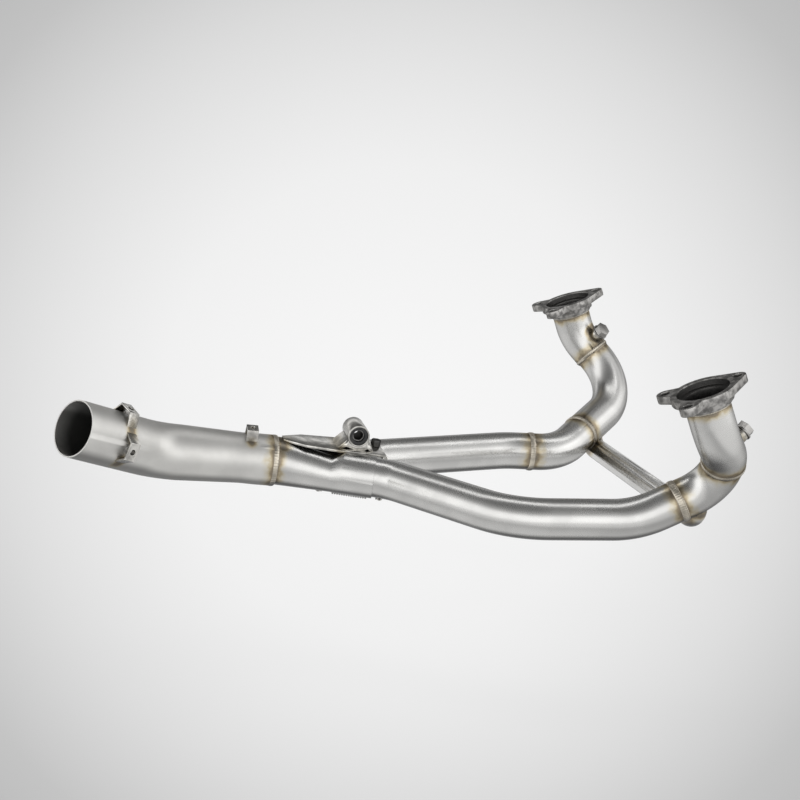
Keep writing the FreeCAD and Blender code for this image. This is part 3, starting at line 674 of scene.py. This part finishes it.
def apply_modifier(piece: bpy.types.Object, kind: str, **settings: object) -> None:
    """Add a modifier, set it up and apply it.

    Args:
        piece: Object to change.
        kind: Modifier type.
        settings: Attributes to set on the modifier.
    """
    deselect()
    piece.select_set(True)
    bpy.context.view_layer.objects.active = piece
    bpy.ops.object.modifier_add(type=kind)
    modifier = piece.modifiers[-1]
    for name, value in settings.items():
        setattr(modifier, name, value)
    bpy.ops.object.modifier_apply(modifier=modifier.name)


def select_points(piece: bpy.types.Object, chosen: Callable[[Vector, int], bool]) -> None:
    """Select vertices in edit mode by their place.

    Args:
        piece: Object that is in edit mode.
        chosen: Test of a vertex position and index.
    """
    bpy.ops.mesh.select_mode(type="VERT")
    bpy.ops.mesh.select_all(action="DESELECT")
    bpy.ops.object.mode_set(mode="OBJECT")
    for vertex in piece.data.vertices:
        vertex.select = bool(chosen(vertex.co, vertex.index))
    bpy.ops.object.mode_set(mode="EDIT")


@dataclass
class SolidPieces:
    """Copies of the CAD solids, merged, with broken edges and smooth shading."""

    materials: dict[Slot, bpy.types.Material]
    own: dict[str, bpy.types.Material]
    bevels: dict[str, float] = field(default_factory=lambda: {
        "flange": 0.9, "sensor": 0.5, "nut": 0.5, "bracket": 0.35, "tab": 0.4, "plate": 0.4, "saddle": 0.3,
        "sleeve": 0.3, "bush": 0.6, "spacer": 0.35})
    crease: float = 32.0

    def build(self) -> None:
        """Make a finished copy of every CAD node that has no piece of its own."""
        slots = {row["node"]: Slot(row["material_slot"]) for row in frame["record"]["subparts"]}
        for name, node in list(frame["nodes"].items()):
            if slots[name] is Slot.SPRING and not name.endswith("_tab"):
                continue
            self._copy(name, node, slots[name])

    def _copy(self, name: str, node: bpy.types.Object, slot: Slot) -> None:
        """Copy one node, merge its triangles, break its edges and dress it."""
        deselect()
        node.select_set(True)
        bpy.context.view_layer.objects.active = node
        bpy.ops.object.duplicate()
        piece = active(name + "_skin")
        bpy.ops.object.mode_set(mode="EDIT")
        bpy.ops.mesh.select_all(action="SELECT")
        bpy.ops.mesh.remove_doubles(threshold=2e-6)
        bpy.ops.object.mode_set(mode="OBJECT")
        width = next((value for key, value in self.bevels.items() if key in name), 0.0)
        if width:
            apply_modifier(piece, "BEVEL", width=width * MM, segments=2, limit_method="ANGLE",
                           angle_limit=math.radians(self.crease), use_clamp_overlap=True)
        smooth(piece, self.crease)
        piece.data.materials.clear()
        piece.data.materials.append(self.own.get(name, self.materials[slot]))
        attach(piece, "root")
        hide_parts(name)
        LOG.info("%s: %d faces", piece.name, len(piece.data.polygons))


@dataclass
class WeldBeads:
    """Rippled beads over the welds."""

    welds: list[Weld]
    material: bpy.types.Material
    height: float = 1.1
    ripples: int = 56

    def build(self) -> None:
        """Make each bead at its weld."""
        for weld in self.welds:
            self._bead(weld)

    def _bead(self, weld: Weld) -> None:
        """Make one bead: a flattened ring whose crest is raised in even ripples."""
        deselect()
        segments = self.ripples * 4
        minor = 10
        bpy.ops.mesh.primitive_torus_add(
            major_segments=segments, minor_segments=minor,
            major_radius=weld.radius * MM, minor_radius=self.height * MM)
        piece = active(weld.name)
        bpy.ops.object.mode_set(mode="EDIT")
        bpy.ops.mesh.select_all(action="SELECT")
        bpy.ops.transform.resize(value=(1.0, 1.0, weld.half_width / self.height))
        for share, raise_by in ((0, 0.18), (1, 0.07), (3, -0.11)):
            select_points(piece, lambda co, index: (index // minor) % 4 == share)
            bpy.ops.transform.shrink_fatten(value=raise_by * MM)
        bpy.ops.object.mode_set(mode="OBJECT")
        apply_modifier(piece, "SUBSURF", levels=1, render_levels=1)
        settle(piece, upright(weld.point, weld.axis, WELD_START))
        smooth(piece, 180.0)
        piece.data.materials.append(self.material)
        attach(piece, "root")
        LOG.info("%s: %d faces", piece.name, len(piece.data.polygons))


@dataclass
class JointSpring:
    """A spring stretched a little across a slip joint, hooked into a tab at either end."""

    name: str
    route: Route
    turn: float
    reach: float
    hook: float
    material: bpy.types.Material
    past: float = 9.0
    stand: float = 29.4
    wire: float = 0.88
    coil: float = 3.1
    gap: float = 0.9
    eye: float = 2.0
    tab: float = 1.5
    hook_bend: float = 1.3
    hook_root: float = 1.2
    tab_press: float = 0.65

    def build(self) -> None:
        """Wind the coil, bend the hooks and put the spring in its place."""
        mouth = min(RIGHT_ROUTE.bend(0)[0], LEFT_ROUTE.bend(0)[0]) - MOUTH_SETBACK
        point, axis = self.route.seat(mouth)
        out = turned(axis, Vector((0, 1, 0)), self.turn)
        side = out.cross(axis)
        start = point + axis * ((self.hook - self.reach) * MM) + out * (self.stand * MM)
        run = self.reach + self.past - 2 * self.hook
        piece = self._coil(run)
        beside = self.tab + 2 * self.wire * self.tab_press
        slack = self.eye - self.wire
        for heading, base in ((1.0, run), (-1.0, 0.0)):
            self._hook(piece, base, heading, beside, slack)
        settle(piece, upright(start, axis, side))
        smooth(piece, 50.0)
        piece.data.materials.append(self.material)
        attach(piece, "root")
        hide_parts(self.name)
        LOG.info("%s: %d faces", piece.name, len(piece.data.polygons))

    def _coil(self, run: float) -> bpy.types.Object:
        """Wind a round wire into a coil along Z."""
        turns = max(2, int(run / (2 * self.wire + self.gap)))
        pitch = run / turns
        deselect()
        bpy.ops.mesh.primitive_circle_add(vertices=10, radius=self.wire * MM, fill_type="NGON")
        piece = active(self.name + "_wire")
        bpy.ops.object.mode_set(mode="EDIT")
        bpy.ops.mesh.select_all(action="SELECT")
        bpy.ops.mesh.delete(type="ONLY_FACE")
        bpy.ops.mesh.select_all(action="SELECT")
        bpy.ops.transform.rotate(value=math.pi / 2, orient_axis="X", center_override=(0.0, 0.0, 0.0))
        bpy.ops.transform.translate(value=(-self.coil * MM, 0.0, 0.0))
        bpy.ops.object.mode_set(mode="OBJECT")
        apply_modifier(piece, "SCREW", axis="Z", angle=2 * math.pi, screw_offset=pitch * MM, iterations=turns,
                       steps=16, render_steps=16, use_normal_calculate=True)
        return piece

    def _hook(self, piece: bpy.types.Object, base: float, heading: float, beside: float,
              slack: float) -> None:
        """Add a hook to one end of the coil: along the axis beside the tab, then through its eye."""
        straight = self.hook - slack - self.hook_bend
        deselect()
        root = (-beside * MM, 0.0, (base - heading * self.hook_root) * MM)
        bpy.ops.mesh.primitive_circle_add(vertices=10, radius=self.wire * MM, fill_type="NGON", location=root)
        wire = active("hook_wire")
        bpy.ops.object.mode_set(mode="EDIT")
        bpy.ops.mesh.select_all(action="SELECT")
        shank = heading * (straight + self.hook_root) * MM
        bpy.ops.mesh.extrude_region_move(TRANSFORM_OT_translate={"value": (0, 0, shank)})
        corner = Vector(((self.hook_bend - beside) * MM, 0.0, (base + heading * straight) * MM))
        bpy.ops.mesh.spin(steps=6, angle=math.pi / 2 * heading, center=corner, axis=(0.0, 1.0, 0.0))
        through = 2 * (self.tab + self.wire) * MM
        bpy.ops.mesh.extrude_region_move(TRANSFORM_OT_translate={"value": (through, 0, 0)})
        bpy.ops.mesh.select_all(action="SELECT")
        bpy.ops.mesh.normals_make_consistent(inside=False)
        bpy.ops.object.mode_set(mode="OBJECT")
        deselect()
        wire.select_set(True)
        piece.select_set(True)
        bpy.context.view_layer.objects.active = piece
        bpy.ops.object.join()


@dataclass
class Studio:
    """Pale seamless floor, a wide front light tent and the photograph's camera."""

    eye: tuple[float, float, float] = (-0.2929, -1.6208, 0.51)
    view: tuple[float, float, float] = (0.1999, 0.9403, -0.2756)
    left_front: tuple[float, float, float] = (-0.34, -0.94, 0.0)
    right_front: tuple[float, float, float] = (0.12, -0.993, 0.0)
    lens: float = 67.5
    floor_drop: float = 0.16
    floor_size: float = 140.0
    floor_glow: float = 0.85
    room_strength: float = 1.6

    def build(self) -> None:
        """Set the camera, the floor, the lamps and the world."""
        self._camera()
        self._floor()
        self._lamp("overhead_strip", (0.4, 0.5, 2.0), (0.1, 0.0, 0.0), 3.0, 0.5, 8.0)
        self._lamp("right_softbox", (1.9, -0.5, 1.5), (0.2, 0.0, 0.0), 2.4, 1.8, 5.0)
        self._world()

    def _camera(self) -> None:
        """Put the camera at the photograph's place."""
        data = bpy.data.cameras.new("photo_camera")
        data.lens = self.lens
        data.sensor_width = 36.0
        camera = bpy.data.objects.new("photo_camera", data)
        camera.location = self.eye
        camera.rotation_euler = Vector(self.view).to_track_quat("-Z", "Y").to_euler()
        bpy.context.scene.collection.objects.link(camera)
        bpy.context.scene.camera = camera

    def _floor(self) -> None:
        """Lay a floor with a painted pool of light: pale in the middle of the picture, fading darker towards
        its corners.
        """
        deselect()
        low = CAD_BOUNDS[0][2] - self.floor_drop
        bpy.ops.mesh.primitive_plane_add(size=self.floor_size, location=(0.0, 10.0, low))
        floor = active("studio_floor")
        made = bpy.data.materials.new("pale_floor")
        made.use_nodes = True
        tree = NodeTree(made.node_tree)
        shader = made.node_tree.nodes["Principled BSDF"]
        shader.inputs["Roughness"].default_value = 0.8
        where = tree.add("ShaderNodeNewGeometry").outputs["Position"]
        ray = tree.vector("NORMALIZE", tree.vector("SUBTRACT", where, self.eye).outputs[0]).outputs[0]
        aside = tree.vector("DOT_PRODUCT", ray, self.view).outputs["Value"]
        # Painted light: the floor's colour follows the direction from the camera, brightest at the middle of
        # the picture, darker towards its corners, and bright again outside the picture for reflections.
        pale = tree.ramp(tree.math("MULTIPLY_ADD", aside, 10.0, -9.0), (
            (0.0, grey(0.95)), (0.3, grey(0.52)), (0.45, grey(0.58)),
            (0.66, grey(0.76)), (0.88, grey(0.93)), (1.0, grey(0.97))))
        tree.feed(shader.inputs["Base Color"], pale)
        path = tree.add("ShaderNodeLightPath")
        seen = tree.math("MAXIMUM", path.outputs["Is Camera Ray"], path.outputs["Is Glossy Ray"])
        seen = tree.math("MAXIMUM", seen, path.outputs["Is Transmission Ray"])
        glow = tree.add("ShaderNodeEmission")
        tree.feed(glow.inputs["Color"], pale)
        mix = tree.add("ShaderNodeMixShader")
        tree.feed(mix.inputs[0], tree.math("MULTIPLY", seen, self.floor_glow))
        tree.feed(mix.inputs[1], shader.outputs[0])
        tree.feed(mix.inputs[2], glow.outputs[0])
        tree.feed(made.node_tree.nodes["Material Output"].inputs["Surface"], mix.outputs[0])
        floor.data.materials.append(made)

    @staticmethod
    def _lamp(name: str, place: tuple[float, float, float], target: tuple[float, float, float],
              wide: float, tall: float, power: float) -> None:
        """Hang one soft rectangular lamp.

        Args:
            name: Name of the lamp.
            place: Where it hangs.
            target: Point that it faces.
            wide: Width in metres.
            tall: Height in metres.
            power: Power in watts.
        """
        data = bpy.data.lights.new(name, "AREA")
        data.shape = "RECTANGLE"
        data.size = wide
        data.size_y = tall
        data.energy = power
        lamp = bpy.data.objects.new(name, data)
        lamp.location = place
        lamp.rotation_euler = (Vector(target) - Vector(place)).to_track_quat("-Z", "Y").to_euler()
        bpy.context.scene.collection.objects.link(lamp)

    def _world(self) -> None:
        """Light the room as a tent: a bright band round the front, a low strip behind, dim overhead."""
        world = bpy.data.worlds.new("studio")
        bpy.context.scene.world = world
        world.use_nodes = True
        tree = NodeTree(world.node_tree)
        way = tree.add("ShaderNodeTexCoord").outputs["Generated"]
        up = tree.add("ShaderNodeSeparateXYZ")
        tree.feed(up.inputs[0], way)
        height = tree.math("MULTIPLY_ADD", up.outputs["Z"], 0.5, 0.5)
        band = tree.ramp(height, (
            (0.45, grey(1.0)), (0.74, grey(1.0)), (0.83, grey(0.34)), (0.95, grey(0.12))))
        rest = tree.ramp(height, (
            (0.52, grey(0.3)), (0.57, grey(0.75)), (0.63, grey(0.6)), (0.7, grey(0.12)), (1.0, grey(0.1))))
        ahead = tree.math("MAXIMUM", tree.vector("DOT_PRODUCT", way, self.left_front).outputs["Value"],
                          tree.vector("DOT_PRODUCT", way, self.right_front).outputs["Value"])
        tent = tree.mix(tree.span(ahead, -0.3, 0.35, 0.0, 1.0), rest, band)
        back = world.node_tree.nodes["Background"]
        tree.feed(back.inputs["Color"], tent)
        back.inputs["Strength"].default_value = self.room_strength


def main() -> None:
    """Build the scene."""
    logging.basicConfig(level=logging.INFO, format="%(name)s %(message)s")
    effects = Effects()
    welds = header_welds()
    bores = open_ends()
    warmed = welds + heat_marks()
    materials = {slot: finish.material(effects, warmed, bores) for slot, finish in FINISHES.items()}
    own = {"plate_nut": NUT_FINISH.material(effects, [], bores),
           "outlet_pipe": OUTLET_FINISH.material(effects, warmed, bores),
           "crossover_tube": CROSSOVER_FINISH.material(effects, warmed, bores)}
    SolidPieces(materials, own).build()
    WeldBeads(welds, BEAD_FINISH.material(effects, welds, bores)).build()
    for name, route, turn, reach, hook in (("right_lower_spring", RIGHT_ROUTE, -66.0, 62.0, 15.0),
                                           ("right_upper_spring", RIGHT_ROUTE, 32.0, 33.0, 9.0),
                                           ("left_lower_spring", LEFT_ROUTE, -114.0, 62.0, 15.0)):
        JointSpring(name, route, turn, reach, hook, materials[Slot.SPRING]).build()
    Studio().build()
    bpy.context.scene.view_settings.view_transform = "Standard"
    bpy.context.view_layer.update()


if __name__ == "__main__":
    main()
